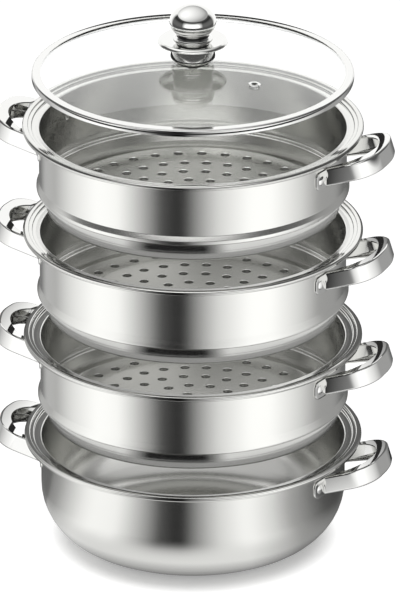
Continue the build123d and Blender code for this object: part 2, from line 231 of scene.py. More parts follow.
def moulded_silicone():
    """Black silicone with the fine sandblast grain of its mould, drawn at 0.5 mm."""
    material, tree = new_material("black_moulded_silicone")
    grain = noise(tree, object_place(tree), 1 / (0.5 * MM), 2.0)
    show(tree, add(tree, "BsdfPrincipled", {
        "Base Color": linear("161616"), "Roughness": 0.55, "IOR": 1.41,
        "Normal": relief(tree, grain, 0.02, 0.5)}))
    return material


clear_glass = tempered_glass()
black_silicone = moulded_silicone()
print("others", clear_glass.name, black_silicone.name)

# %% [markdown]
# ## Outlines of sheet metal
# Every vessel is one sheet of even thickness, so its section is a middle line with rounded corners
# that is offset to both sides. Short straight stretches are kept beside each bend, as a modeller
# keeps holding edges, so that the smooth shading of a bend doesn't leak into the flat wall by it.

# %% Rounded lines and sheet sections


def rounded(corners, bends, turn_step=8.0, hold=0.4):
    """Points of a flat line whose inner corners are arcs, in the units of its corners."""
    corners = [Vector(corner) for corner in corners]
    line = [corners[0]]

    def straight_to(end):
        start = line[-1]
        if (end - start).length > 3 * hold:
            along = (end - start).normalized() * hold
            line.extend([start + along, end - along])
        line.append(end)

    for before, corner, after, bend in zip(corners, corners[1:], corners[2:], bends):
        back = (before - corner).normalized()
        forward = (after - corner).normalized()
        turn = math.pi - back.angle(forward)
        reach = bend * math.tan(turn / 2)
        centre = corner + (back + forward).normalized() * (bend / math.cos(turn / 2))
        straight_to(corner + back * reach)
        arm = line[-1] - centre
        side = 1 if back.x * forward.y - back.y * forward.x < 0 else -1
        steps = max(2, math.ceil(math.degrees(turn) / turn_step))
        for step in range(1, steps + 1):
            line.append(centre + Matrix.Rotation(side * turn * step / steps, 2) @ arm)
    straight_to(corners[-1])
    return line


def direction(line, place):
    """The way that a line runs at one of its points."""
    return (line[min(place + 1, len(line) - 1)] - line[max(place - 1, 0)]).normalized()


def offset_line(line, distance):
    """The line moved sideways, to its left."""
    ways = [direction(line, place) for place in range(len(line))]
    return [point + Vector((-way.y, way.x)) * distance for point, way in zip(line, ways)]


def closed_line(points):
    """An outline joined back to its start."""
    return points + [points[0]]


def sheet_section(line, thickness, closed=False):
    """Outline of a sheet round its middle line. Closed is for one that starts off the axis."""
    outline = offset_line(line, -thickness / 2) + offset_line(line, thickness / 2)[::-1]
    return closed_line(outline) if closed else outline


print("a quarter bend has", len(rounded([(0, 0), (10, 0), (10, 10)], [3])), "points")

# %% [markdown]
# ## A lathe in Geometry Nodes
# Nearly every piece is round about the upright axis, as the real ones are spun or drawn. One node
# group does what a lathe does: it takes an outline, copies it round the axis on a grid, and welds
# the seam and the poles. The finishing group makes instances real, keeps edges over 38 degrees
# sharp and sets the material.

# %% The lathe and finishing groups
round_segments = 240
weld_distance, sharp_angle = 0.002, math.radians(38)
piece_sizes = {"Sharp Angle": ("Float", sharp_angle), "Material": ("Material", None)}


def new_tree(name, sizes):
    """A geometry node group with named sizes as inputs, and the outputs that give them."""
    tree = bpy.data.node_groups.new(name, "GeometryNodeTree")
    tree.interface.new_socket("Geometry", in_out="INPUT", socket_type="NodeSocketGeometry")
    for title, (kind, start) in sizes.items():
        socket = tree.interface.new_socket(title, in_out="INPUT", socket_type="NodeSocket" + kind)
        if start is not None:
            socket.default_value = start
    tree.interface.new_socket("Geometry", in_out="OUTPUT", socket_type="NodeSocketGeometry")
    return tree, tree.nodes.new("NodeGroupInput").outputs


def end_tree(tree, geometry):
    """Send a geometry to the group's output."""
    node(tree, "NodeGroupOutput", {"Geometry": geometry})
    return tree


def lathe_group():
    """Turns the input's outline round the upright axis."""
    tree, given = new_tree("lathe", {"Segments": ("Int", round_segments)})
    outline, segments = given["Geometry"], given["Segments"]
    count = add(tree, "AttributeDomainSize", {"Geometry": outline}, "Point Count", component="MESH")
    around = whole_maths(tree, "ADD", segments, 1)
    grid = add(tree, "MeshGrid", {"Vertices X": count, "Vertices Y": around})
    index = add(tree, "InputIndex")
    row = whole_maths(tree, "DIVIDE_FLOOR", index, around)
    column = whole_maths(tree, "MODULO", index, around)
    inputs = {"Geometry": outline, "Value": add(tree, "InputPosition"), "Index": row}
    point = add(tree, "SampleIndex", inputs, "Value", data_type="FLOAT_VECTOR")
    turn = times(tree, maths(tree, "DIVIDE", column, segments), math.tau)
    spun = add(tree, "ShaderNodeVectorRotate", {"Vector": point, "Angle": turn},
               rotation_type="Z_AXIS")
    placed = add(tree, "SetPosition", {"Geometry": grid, "Position": spun})
    inputs = {"Geometry": placed, "Distance": weld_distance * MM}
    return end_tree(tree, add(tree, "MergeByDistance", inputs))


def finishing_group():
    """Smooth faces with sharp corners, real instances and a material."""
    tree, given = new_tree("finish", piece_sizes)
    real = add(tree, "RealizeInstances", {"Geometry": given["Geometry"]})
    smooth = add(tree, "SetShadeSmooth", {"Geometry": real, "Shade Smooth": True}, domain="FACE")
    angle = add(tree, "InputMeshEdgeAngle", out="Unsigned Angle")
    sharp = maths(tree, "GREATER_THAN", angle, given["Sharp Angle"])
    inputs = {"Geometry": smooth, "Selection": sharp, "Shade Smooth": False}
    creased = add(tree, "SetShadeSmooth", inputs, domain="EDGE")
    inputs = {"Geometry": creased, "Material": given["Material"]}
    return end_tree(tree, add(tree, "SetMaterial", inputs))


lathe = lathe_group()
finish = finishing_group()
print("groups", lathe.name, len(lathe.nodes), finish.name, len(finish.nodes))

# %% [markdown]
# ## Trees for whole pieces
# Each kind of piece has a tree that starts with the lathe and ends with the finish. For a plain
# round piece there is nothing between the two.

# %% The tree of a plain round piece


def piece_tree(name, sizes):
    """A tree that starts with the lathe, the outputs with its sizes, and the turned shape."""
    tree, given = new_tree(name, {"Segments": ("Int", round_segments), **sizes, **piece_sizes})
    inputs = {title: given[title] for title in ("Geometry", "Segments")}
    return tree, given, add(tree, "Group", inputs, node_tree=lathe)


def end_piece(tree, given, geometry):
    """Send a geometry through the finish to the tree's output."""
    inputs = {"Geometry": geometry} | {title: given[title] for title in piece_sizes}
    return end_tree(tree, add(tree, "Group", inputs, node_tree=finish))


round_piece = end_piece(*piece_tree("round_piece", {}))
print("inputs of a round piece", [socket.name for socket in round_piece.interface.items_tree])

# %% [markdown]
# ## From a tree to a plain piece
# A modifier's result is turned into a plain mesh, because the finished model is to have no
# modifiers. The piece is made at the origin, its faces are turned outwards if its volume comes out
# negative, it is attached to the body it rides on, and the CAD nodes it stands for are hidden.

# %% Making pieces


def in_scene(name, data):
    """An object that holds a mesh, a lamp or a camera, put into the scene."""
    thing = bpy.data.objects.new(name, data)
    bpy.context.scene.collection.objects.link(thing)
    return thing


def listed_mesh(name, places, edges=(), faces=()):
    """A mesh from lists of its parts."""
    mesh = bpy.data.meshes.new(name)
    mesh.from_pydata(places, edges, faces)
    return mesh


def shaped_mesh(name, shape):
    """A mesh of a bmesh, which is freed."""
    mesh = bpy.data.meshes.new(name)
    shape.to_mesh(mesh)
    shape.free()
    return mesh


def drum_mesh(name, radius, height, segments, place):
    """A closed cylinder, its middle at a place given as a matrix."""
    shape = bmesh.new()
    bmesh.ops.create_cone(shape, cap_ends=True, segments=segments, radius1=radius, radius2=radius,
                          depth=height, matrix=place)
    return shaped_mesh(name, shape)


def evaluated_mesh(thing):
    """A plain mesh of what an object's modifiers make."""
    seen = bpy.context.evaluated_depsgraph_get()
    return bpy.data.meshes.new_from_object(thing.evaluated_get(seen))


def grown(points, tree, sizes):
    """The plain mesh that a tree makes of an outline in millimetres, as radius and height."""
    places = [(point[0] * MM, 0, point[1] * MM) for point in points]
    edges = [(place, place + 1) for place in range(len(places) - 1)]
    carrier = in_scene("outline", listed_mesh("outline", places, edges))
    modifier = carrier.modifiers.new(tree.name, "NODES")
    modifier.node_group = tree
    for socket in tree.interface.items_tree:
        if socket.in_out == "INPUT" and socket.name in sizes:
            modifier[socket.identifier] = sizes[socket.name]
    carrier.data.update()
    mesh = evaluated_mesh(carrier)
    bpy.data.objects.remove(carrier)
    return mesh


def spun_mesh(points, material, segments=round_segments):
    """A round mesh from an outline."""
    return grown(points, round_piece, {"Segments": segments, "Material": material})


def face_out(mesh):
    """Turn a closed mesh's faces outwards and return its volume in cubic centimetres."""
    shape = bmesh.new()
    shape.from_mesh(mesh)
    volume = shape.calc_volume(signed=True)
    if volume < 0:
        bmesh.ops.reverse_faces(shape, faces=shape.faces)
        shape.to_mesh(mesh)
    shape.free()
    return abs(volume) * 1e6


def make_piece(name, mesh, body, nodes):
    """A finished piece from a mesh, in place of CAD nodes."""
    volume = face_out(mesh)
    mesh.name = name
    piece = in_scene(name, mesh)
    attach(piece, body)
    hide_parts(*nodes)
    triangles = sum(len(face.vertices) - 2 for face in mesh.polygons)
    print(f"{name}: {triangles} triangles, {volume:.1f} cm3")
    return piece


# %% [markdown]
# ## The rim that all vessels share
# Each vessel's wall turns out into a seat for the next one, steps up and ends in a hollow rolled
# edge. The seat, the riser and the curl are the bright rings seen round every opening. Sizes are
# in millimetres from here on. Levels count from the table, and the level of a vessel is that of
# its curl's centre, so places on a vessel are given as heights above or below it.

# %% Sizes and rim outline
sheet = 0.7
inner_radius = 140.5
wall_line = inner_radius + sheet / 2
outer_radius = inner_radius + sheet
vessels = {"pot": 104.0, "steamer_1": 203.9, "steamer_2": 308.2, "steamer_3": 410.6}
baskets = {name: level for name, level in vessels.items() if name != "pot"}
seat_height, shelf_height, riser_reach = -1.35, 0.6, 148.2
curl_reach, curl_radius, curl_lip = 153.9, 2.25, 1.0


def rim_outline(level):
    """Corners and bends of the sheet's middle line, from the wall out to the rolled edge."""
    seat, shelf = level + seat_height, level + shelf_height
    top, bottom = level + curl_radius, level - curl_radius
    inner, outer = curl_reach - curl_radius, curl_reach + curl_radius
    corners = [(wall_line, seat), (riser_reach, seat), (riser_reach, shelf), (inner, shelf),
               (inner, top), (outer, top), (outer, bottom), (inner + curl_lip, bottom)]
    return corners, [0.9, 0.9, 0.5, 0.5, 0.5, 0.98 * curl_radius, 0.98 * curl_radius]


def vessel_outline(corners, bends, level):
    """The section of a vessel: its lower corners, then the shared rim."""
    rim_corners, rim_bends = rim_outline(level)
    return sheet_section(rounded(corners + rim_corners, bends + rim_bends), sheet)


print("rim width", round(curl_reach + curl_radius - inner_radius, 2), "mm")

# %% [markdown]
# ## The pot
# The pot has a flat bottom and two long bends that carry it up to an upright wall. Only its outline
# differs from the baskets', so the lathe makes it in one go.

# %% Pot bowl and base plate
base_radius, base_thickness, base_play = 90.0, 3.0, 0.05
bowl_floor = base_thickness + sheet / 2
turn_out = base_radius + 0.41 * (wall_line - base_radius)
turn_up = bowl_floor + 0.31 * (vessels["pot"] - bowl_floor)
slope = math.atan2(turn_up - bowl_floor, wall_line - turn_out)
lower_reach = turn_out - base_radius
upper_reach = 0.98 * math.hypot(wall_line - turn_out, turn_up - bowl_floor) - lower_reach
bowl_bends = [lower_reach / math.tan(slope / 2),
              upper_reach / math.tan((math.radians(90) - slope) / 2)]
bowl_corners = [(0, bowl_floor), (turn_out, bowl_floor), (wall_line, turn_up)]
bowl_outline = vessel_outline(bowl_corners, bowl_bends, vessels["pot"])
make_piece("pot_bowl_drawn", spun_mesh(bowl_outline, satin_steel), "pot", ["pot_bowl"])

disc_radius, disc_top = base_radius - 2, base_thickness - base_play
disc_outline = [(0, 0), (disc_radius - 1, 0), (disc_radius, 1), (disc_radius, disc_top),
                (0, disc_top)]
make_piece("pot_base_plate", spun_mesh(disc_outline, satin_steel), "pot", ["pot_base_disc"])

# %% [markdown]
# ## The baskets and their steam holes
# A basket's floor is a shallow dome inside a foot ring, with a shoulder above that rests on the rim
# below. Five rings of holes and one in the middle are punched about 20 mm apart. A punch drags the
# sheet down into a short collar, and each mouth is softly flared and catches the light. Geometry
# Nodes place a collar, a punch and a flare on every hole, weld the collars to the lathe's shell and
# cut the rest from it, so that a ring's count and radius stay numbers that can be changed.

# %% Perforated basket tree
hole_sizes = {"Hole Radius": 4.2, "Ring Pitch": 21.0, "Outer Ring Radius": 111.5, "Flare": 0.55,
              "Collar Depth": 3.7, "Dome Top": 0.0, "Floor Top": 0.0}
ring_counts = {"Ring 1 Holes": 6, "Ring 2 Holes": 13, "Ring 3 Holes": 19, "Ring 4 Holes": 26,
               "Outer Holes": 32}
hole_sides, punch_length, collar_sheet = 28, 6, 0.5
flare_depth, flare_height = 0.4, -0.35


def basket_tree():
    """The lathe, the rings of collars and punches, and the cut."""
    sizes = {title: ("Float", value * MM) for title, value in hole_sizes.items()}
    sizes |= {title: ("Int", value) for title, value in ring_counts.items()}
    tree, given, shell = piece_tree("perforated_basket", sizes)
    hole, depth = given["Hole Radius"], given["Collar Depth"]

    def lifted(geometry, height):
        inputs = {"Geometry": geometry, "Translation": combine(tree, Z=height)}
        return add(tree, "Transform", inputs)

    def ring(title, radius, level):
        circle = add(tree, "MeshCircle", {"Vertices": given[title], "Radius": radius})
        return lifted(circle, level)

    top, pitch = given["Dome Top"], given["Ring Pitch"]
    rings = [ring(title, times(tree, pitch, float(place)), top)
             for place, title in enumerate(list(ring_counts)[:-1], start=1)]
    rings.append(ring("Outer Holes", given["Outer Ring Radius"], given["Floor Top"]))
    rings.append(add(tree, "Points", {"Count": 1, "Position": combine(tree, Z=top)}))
    spots = node(tree, "JoinGeometry")
    for one in rings:
        tree.links.new(one, spots.inputs[0])

    def on_every_spot(tool):
        copies = add(tree, "InstanceOnPoints", {"Points": spots.outputs[0], "Instance": tool})
        return add(tree, "RealizeInstances", {"Geometry": copies})

    def cylinder(radius, length):
        inputs = {"Vertices": hole_sides, "Radius": radius, "Depth": length}
        return add(tree, "MeshCylinder", inputs)

    punch = cylinder(hole, punch_length * MM)
    flare = add(tree, "MeshCone", {
        "Vertices": hole_sides, "Radius Top": maths(tree, "ADD", hole, given["Flare"]),
        "Radius Bottom": hole, "Depth": flare_depth * MM})
    collar = cylinder(maths(tree, "ADD", hole, collar_sheet * MM), depth)
    hung = lifted(collar, times(tree, depth, -0.5))
    whole = node(tree, "MeshBoolean", {"Mesh 2": shell}, operation="UNION", solver="MANIFOLD")
    tree.links.new(on_every_spot(hung), whole.inputs["Mesh 2"])
    cut = node(tree, "MeshBoolean", {"Mesh 1": whole.outputs[0]}, operation="DIFFERENCE",
               solver="MANIFOLD")
    for tool in (punch, lifted(flare, flare_height * MM)):
        tree.links.new(on_every_spot(tool), cut.inputs["Mesh 2"])
    return end_piece(tree, given, cut.outputs[0])


perforated = basket_tree()
print("rings of holes", list(ring_counts.values()), "and one in the middle")

# %% Three baskets
floor_height, foot_height, rest_height, shoulder_height = -73, -78.15, -60.65, -69.5
bulge_top, bulge_end, bulge, dome_rise = -57, -52, 2.5, 1.8
dome_reach, dome_edge, foot_inner, foot_outer = 99, 102, 127.6, 134.25
shoulder_reach, rest_inner = 136.25, 139
basket_bends = [2, 2, 1.5, 2.2, 2.2, 1.5, 1.5, 2, 2, 2]
basket_sharp = math.radians(25)


def basket_outline(level):
    """The basket's domed floor, foot, shoulder and bulge, up to the shared rim."""
    floor, foot, rest = level + floor_height, level + foot_height, level + rest_height
    dome_top, bulge_line = floor + dome_rise, wall_line + bulge
    corners = [(0, dome_top), (dome_reach, dome_top), (dome_edge, floor), (foot_inner, floor),
               (foot_inner, foot), (foot_outer, foot), (shoulder_reach, level + shoulder_height),
               (rest_inner, rest), (bulge_line, rest), (bulge_line, level + bulge_top),
               (wall_line, level + bulge_end)]
    return vessel_outline(corners, basket_bends, level)


for name, level in baskets.items():
    floor_top = level + floor_height + sheet / 2
    sizes = {"Segments": round_segments, "Dome Top": (floor_top + dome_rise) * MM,
             "Floor Top": floor_top * MM, "Sharp Angle": basket_sharp, "Material": satin_steel}
    basket_mesh = grown(basket_outline(level), perforated, sizes)
    make_piece(name + "_basket_drawn", basket_mesh, name, [name + "_basket"])

# %% [markdown]
# ## Loop handles
# Each handle is a channel pressed from 1.2 mm sheet: an outer band, two lips that grow wider
# towards the nose, and a riveted tab at each end. The section is swept along the bow in mesh code,
# because the lips' width is worked out at each station, where a line square to the bow meets the
# oval finger opening. The loop is drawn flat and then tilted up.

# %% Channel of the handles
handle_sheet, handle_height, handle_half = 1.2, 17.0, 39.3
handle_root, handle_drop, handle_tilt = 135.0, 22.5, math.radians(17.5)
bow_shoulder, bow_reach, bow_bends = 47.3, 55.3, [25, 60, 25]
bow_middle = Vector((20, 0))
opening_centre, opening_length, opening_half = 2.1, 42.5, 36.8
wall_play = 0.05
tab_inner = outer_radius + wall_play
tab_outer = tab_inner + handle_sheet


def lip_width(point, inward):
    """Distance from the bow to the finger opening along the inward direction."""
    if point.x <= opening_centre:
        return handle_half - opening_half
    start = Vector(((point.x - opening_centre) / opening_length, point.y / opening_half))
    along = Vector((inward.x / opening_length, inward.y / opening_half))
    a, b, c = along.dot(along), 2 * start.dot(along), start.dot(start) - 1
    return (-b - math.sqrt(max(b * b - 4 * a * c, 0))) / (2 * a)


def channel_section(width):
    """Closed section of the channel as distance inwards and height."""
    half = handle_height / 2 - handle_sheet / 2
    corners = [(width, half), (handle_sheet / 2, half), (handle_sheet / 2, -half), (width, -half)]
    line = rounded(corners, [1.4, 1.4], turn_step=15, hold=0.15)
    return sheet_section(line, handle_sheet)


def tilted(point, height):
    """A point of the handle's own plane as a point round the vessel, the rim's level at zero."""
    across, up = math.cos(handle_tilt), math.sin(handle_tilt)
    return Vector((handle_root + point.x * across - height * up, point.y,
                   point.x * up + height * across - handle_drop))


def strip(shape, one, other):
    """Faces between two lines of corners."""
    for row in range(len(one) - 1):
        shape.faces.new((one[row], one[row + 1], other[row + 1], other[row]))


def loop_shape():
    """One handle on the +X side as a bmesh, its ends cut to the curve of the wall."""
    shape = bmesh.new()
    bow = rounded([(0, handle_half), (bow_shoulder, handle_half), (bow_reach, 0),
                   (bow_shoulder, -handle_half), (0, -handle_half)], bow_bends, turn_step=3, hold=2)
    rings = []
    for place, point in enumerate(bow):
        along = direction(bow, place)
        inward = Vector((along.y, -along.x))
        if inward.dot(bow_middle - point) < 0:
            inward = -inward
        ring = []
        for depth, height in channel_section(lip_width(point, inward)):
            corner = tilted(point + inward * depth, height)
            if place in (0, len(bow) - 1):
                wall = math.sqrt(tab_inner**2 - corner.y**2)
                corner.z += (wall - corner.x) * math.tan(handle_tilt)
                corner.x = wall
            ring.append(shape.verts.new(corner))
        rings.append(ring)
    for one, other in zip(rings, rings[1:]):
        strip(shape, closed_line(one), closed_line(other))
    shape.faces.new(rings[0])
    shape.faces.new(rings[-1][::-1])
    return shape


print("lip at the nose", round(lip_width(Vector((bow_reach, 0)), Vector((-1, 0))), 1), "mm")

# %% Riveted tabs
tab_end, tab_corner = 54.0, 5.5
edge_ease = 0.25


def add_tab(shape, side):
    """A riveted tab: a strip of the wall's curve with its far corners rounded."""
    near, half, flat_end = handle_half - handle_sheet, handle_height / 2, tab_end - tab_corner
    stations = [near, (near + flat_end) / 2]
    stations += [flat_end + tab_corner * math.sin(math.radians(step * 10)) for step in range(10)]
    columns = []
    for width in stations:
        beyond = max(width - flat_end, 0)
        top = half - tab_corner + math.sqrt(max(tab_corner**2 - beyond**2, 0))
        heights = [top * share for share in (1, 0.5, 0, -0.5, -1)]
        reaches = [math.sqrt(radius**2 - width**2) for radius in (tab_inner, tab_outer)]
        columns.append([[shape.verts.new((reach, side * width, height - handle_drop))
                         for height in heights] for reach in reaches])

    for one, other in zip(columns, columns[1:]):
        for skin in (0, 1):
            strip(shape, one[skin], other[skin])
        for row in (0, -1):
            shape.faces.new((one[0][row], one[1][row], other[1][row], other[0][row]))
    for column in (columns[0], columns[-1]):
        strip(shape, column[0], column[1])


def finished_handle():
    """The handle's mesh: the loop and two tabs, with the tabs' edges eased."""
    tabs = bmesh.new()
    for side in (-1, 1):
        add_tab(tabs, side)
    bmesh.ops.recalc_face_normals(tabs, faces=tabs.faces)
    edges = [edge for edge in tabs.edges if edge.calc_face_angle(0) > math.radians(50)]
    bmesh.ops.bevel(tabs, geom=edges, offset=edge_ease, segments=2, affect="EDGES", profile=0.5,
                    clamp_overlap=True)
    loop = loop_shape()
    bmesh.ops.recalc_face_normals(loop, faces=loop.faces)
    loop.from_mesh(shaped_mesh("tabs", tabs))
    return shaped_mesh("handle", loop)


# %% Two handles on every vessel
handle_mesh = finished_handle()
for name, level in vessels.items():
    for side, turn in (("right", 0), ("left", 180)):
        mesh = handle_mesh.copy()
        mesh.transform(Matrix.Translation((0, 0, level * MM))
                       @ Matrix.Rotation(math.radians(turn), 4, "Z") @ Matrix.Scale(MM, 4))
        mesh.shade_smooth()
        mesh.set_sharp_from_angle(angle=sharp_angle)
        mesh.materials.append(bright_steel)
        make_piece(f"{name}_loop_{side}", mesh, name, [f"{name}_handle_{side}"])

# %% [markdown]
# ## Rivets
# Four domed rivets hold each pair of handles, two on each side, with a head outside and a flatter
# tail inside. Geometry Nodes turn one rivet on the lathe and stand it on four points that face
# outwards.

# %% Rivet tree
rivet_spread = math.asin(46.6 / outer_radius)
rivet_segments = 40


def rivet_tree():
    """Four spun rivets that point outwards round the axis."""
    sizes = {"Level": ("Float", 0.1), "Spread": ("Float", rivet_spread)}
    tree, given, rivet = piece_tree("ring_of_rivets", sizes)
    points = add(tree, "Points", {"Count": 4, "Position": combine(tree, Z=given["Level"])})
    index = add(tree, "InputIndex")
    half_turn = times(tree, whole_maths(tree, "DIVIDE_FLOOR", index, 2), math.pi)
    sign = maths(tree, "MULTIPLY_ADD", whole_maths(tree, "MODULO", index, 2), 2.0, -1.0)
    turn = maths(tree, "MULTIPLY_ADD", sign, given["Spread"], half_turn)
    angles = combine(tree, Y=math.pi / 2, Z=turn)
    facing = add(tree, "FunctionNodeEulerToRotation", {"Euler": angles})
    inputs = {"Points": points, "Instance": rivet, "Rotation": facing}
    return end_piece(tree, given, add(tree, "InstanceOnPoints", inputs))


ring_of_rivets = rivet_tree()
print("rivets stand", round(math.degrees(rivet_spread), 1), "degrees off the handle's middle")

# %% Rivets of every vessel
head_radius, head_rise, tail_rise, shank_radius, tail_play = 4.5, 1.7, -1.2, 2, 0.1


def dome(radius, height, base, steps=8):
    """Points of a round cap from its top on the axis to its edge. Below zero it points down."""
    sphere = (radius**2 + height**2) / (2 * abs(height))
    sign = 1 if height > 0 else -1
    reaches = [radius * math.sin(math.radians(90 * step / steps)) for step in range(steps + 1)]
    return [(reach, base + height + sign * (math.sqrt(sphere**2 - reach**2) - sphere))
            for reach in reaches]


head_base = tab_outer + wall_play
tail_base = inner_radius - tail_play
rivet_outline = (dome(head_radius, head_rise, head_base) + [(shank_radius, head_base)]
                 + [(shank_radius, tail_base)] + dome(head_radius, tail_rise, tail_base)[::-1])
for name, level in vessels.items():
    rivets = grown(rivet_outline, ring_of_rivets, {
        "Segments": rivet_segments, "Level": (level - handle_drop) * MM, "Material": bright_steel})
    make_piece(name + "_rivet_set", rivets, name, [name + "_rivets"])

# %% [markdown]
# ## The lid
# The glass is a shallow dome clasped by a rolled steel band. The vent is a small steel eyelet set
# square to the glass. The glass outline has many points, because a clear surface shows every facet
# as a bent reflection.

# %% Glass
lid_level = 460.5
glass_radius, glass_thickness, glass_rise = 143.0, 4.0, 10.4
glass_sphere = (glass_radius**2 + glass_rise**2) / (2 * glass_rise)
sphere_centre = lid_level + glass_rise - glass_sphere
glass_top = lid_level + glass_rise + glass_thickness / 2
glass_steps, edge_ground, edge_flat = 60, 0.6, 1.4
screw_bore = 2.8
vent_reach, vent_angle, vent_bore = 75.2, math.radians(-26.6), 3.45
vent_tilt = math.asin(vent_reach / glass_sphere)
vent_turned = Matrix.Rotation(vent_angle, 4, "Z") @ Matrix.Rotation(vent_tilt, 4, "Y")
vent_place = (Matrix.Translation((0, 0, sphere_centre * MM)) @ vent_turned
              @ Matrix.Translation((0, 0, glass_sphere * MM)))


def glass_height(radius, lift):
    """Level of a surface that lies lift above the glass's middle."""
    return sphere_centre + math.sqrt((glass_sphere + lift) ** 2 - radius**2)


def glass_outline():
    """Both faces of the dome and its ground edge, closed round the bore."""
    width = glass_radius - edge_ground - screw_bore
    radii = [screw_bore + width * step / glass_steps for step in range(glass_steps + 1)]
    upper = [(radius, glass_height(radius, glass_thickness / 2)) for radius in radii]
    lower = [(radius, glass_height(radius, -glass_thickness / 2)) for radius in radii]
    edge = [(glass_radius, glass_height(glass_radius, lift)) for lift in (edge_flat, 0, -edge_flat)]
    return closed_line(upper + edge + lower[::-1])


def cut_vent(mesh):
    """Bore the glass for the vent with a boolean, and give back the cut mesh."""
    drill_mesh = drum_mesh("drill", vent_bore * MM, 3 * glass_thickness * MM, 48, vent_place)
    glass, drill = in_scene("glass", mesh), in_scene("drill", drill_mesh)
    cut = glass.modifiers.new("vent", "BOOLEAN")
    cut.object, cut.operation, cut.solver = drill, "DIFFERENCE", "EXACT"
    bored = evaluated_mesh(glass)
    for thing in (glass, drill):
        bpy.data.objects.remove(thing)
    return bored


glass_mesh = cut_vent(spun_mesh(glass_outline(), clear_glass))
glass_piece = make_piece("lid_glass_dome", glass_mesh, "lid", ["lid_glass"])
glass_piece.visible_shadow = False

# %% Band and vent
band_half, band_reach, band_sheet = 3.2, 147, 0.6
band_top, band_bottom = lid_level + band_half, lid_level - band_half
band_line = rounded([(139.3, band_top), (band_reach, band_top), (band_reach, band_bottom),
                     (142.3, band_bottom)], [1.2, 1.2])
band_mesh = spun_mesh(sheet_section(band_line, band_sheet, closed=True), bright_steel)
make_piece("lid_rolled_band", band_mesh, "lid", ["lid_rim_band"])

eyelet_upper = [(3.4, 2.05), (5.6, 2.05), (5.6, 2.5), (5.2, 2.8), (2.9, 2.8)]
eyelet_lower = [(radius, -height) for radius, height in eyelet_upper[::-1]]
eyelet = spun_mesh(closed_line(eyelet_lower + eyelet_upper), bright_steel, 64)
eyelet.transform(vent_place)
make_piece("lid_vent_eyelet", eyelet, "lid", ["lid_vent_grommet"])

# %% [markdown]
# ## The knob
# The knob is a stack on one screw: a cup-shaped foot, a wide disc that keeps fingers off the hot
# glass, a flared collar, a black neck ring and a hollow ball in two halves with grooves turned into
# the lower one. Each is a lathe outline, and all but the ring are polished like a mirror.

# %% Foot, guard, collar and neck of the knob
cup_bottom = glass_top + 0.8
guard_top, guard_reach, knob_sheet = glass_top + 22.6, 31.7, 1
guard_middle = guard_top - knob_sheet / 2
cup_top = guard_top - 1.5
collar_top = guard_top + 3.4
ball_bottom = collar_top + 1.6
ball_radius, neck_radius, seal_radius = 21.4, 15.2, 14.5
knob_segments = 160


def knob_part(name, outline, node, material=bright_steel):
    """A turned part of the knob."""
    make_piece(name, spun_mesh(outline, material, knob_segments), "lid", [node])


def sheet_part(name, corners, bends, node):
    """A part of the knob that is pressed from sheet."""
    line = rounded(corners, bends)
    knob_part(name, sheet_section(line, knob_sheet, closed=True), node)


sheet_part("knob_foot", [(screw_bore, cup_top), (18.1, cup_top), (20.1, cup_bottom + 4.4),
                         (15, cup_bottom + 0.5)], [1, 2], "knob_foot_cup")
sheet_part("knob_guard_disc", [(screw_bore, guard_middle), (guard_reach, guard_middle),
                               (guard_reach, guard_top - 3.2)], [2.2], "knob_finger_guard")

collar_flank = rounded([(17.6, guard_top), (18.4, guard_top + 0.8), (16.2, guard_top + 1.4),
                        (neck_radius, collar_top)], [0.5, 1.2])
knob_part("knob_flared_collar",
          closed_line([(screw_bore, guard_top), *collar_flank, (screw_bore, collar_top)]),
          "knob_collar")

neck_outline = closed_line([(screw_bore, collar_top), (seal_radius, collar_top),
                            (seal_radius, ball_bottom), (screw_bore, ball_bottom)])
knob_part("knob_neck_seal", neck_outline, "knob_neck_ring", black_silicone)

# %% Grooved lower half of the ball
half_rise, groove_count, groove_width, groove_depth, groove_ease = 10.8, 3, 0.7, 0.7, 0.05
seam = ball_bottom + half_rise
rise = half_rise / (groove_count + 1)
quarters = (0, 0.25, 0.5, 0.75, 1)


def swell(height):
    """Radius of the ball's lower half at a level."""
    share = (height - ball_bottom) / half_rise
    return neck_radius + (ball_radius - neck_radius) * math.sin(math.radians(90) * share)


stairs = []
for step in range(groove_count):
    low = ball_bottom + step * rise
    groove, high = low + rise - groove_width, low + rise
    heights = [low + share * (groove - low) for share in quarters]
    stairs += [(swell(height), height) for height in heights]
    stairs += [(swell(groove) - groove_depth, groove + groove_ease),
               (swell(high) - groove_depth, high - groove_ease)]
heights = [seam - rise * share for share in quarters[::-1]]
stairs += [(swell(height), height) for height in heights]
boss_bore, boss_radius, boss_floor = 2.55, 6, ball_bottom + 1.8
spigot_outer, spigot_inner, spigot_top = 20.45, 19.55, seam + 1.6   # what centres the upper half
hollow = [(spigot_outer, seam), (spigot_outer, spigot_top), (spigot_inner, spigot_top),
          (spigot_inner, seam), (13.4, boss_floor), (boss_radius, boss_floor), (boss_radius, seam),
          (boss_bore, seam)]
knob_part("knob_grooved_half", closed_line([(boss_bore, ball_bottom)] + stairs + hollow),
          "knob_body")

# %% Domed upper half of the ball
cap_sheet, cap_height = 0.9, 17.1
cap_bottom = seam + 0.3
cap_line_radius, cap_rise = ball_radius - cap_sheet / 2, cap_height - cap_sheet / 2
side_bend = 0.7 * cap_line_radius
side_centre, crown_rise = cap_line_radius - side_bend, cap_rise - side_bend
crown_drop = (side_centre**2 - crown_rise**2) / (2 * crown_rise)
crown_turn = math.atan2(crown_drop, side_centre)


def arc(centre, radius, start, end, steps):
    """Points of an arc between two directions, its first one left out."""
    turns = [start + (end - start) * step / steps for step in range(1, steps + 1)]
    return [Vector((centre[0] + radius * math.cos(turn), centre[1] + radius * math.sin(turn)))
            for turn in turns]


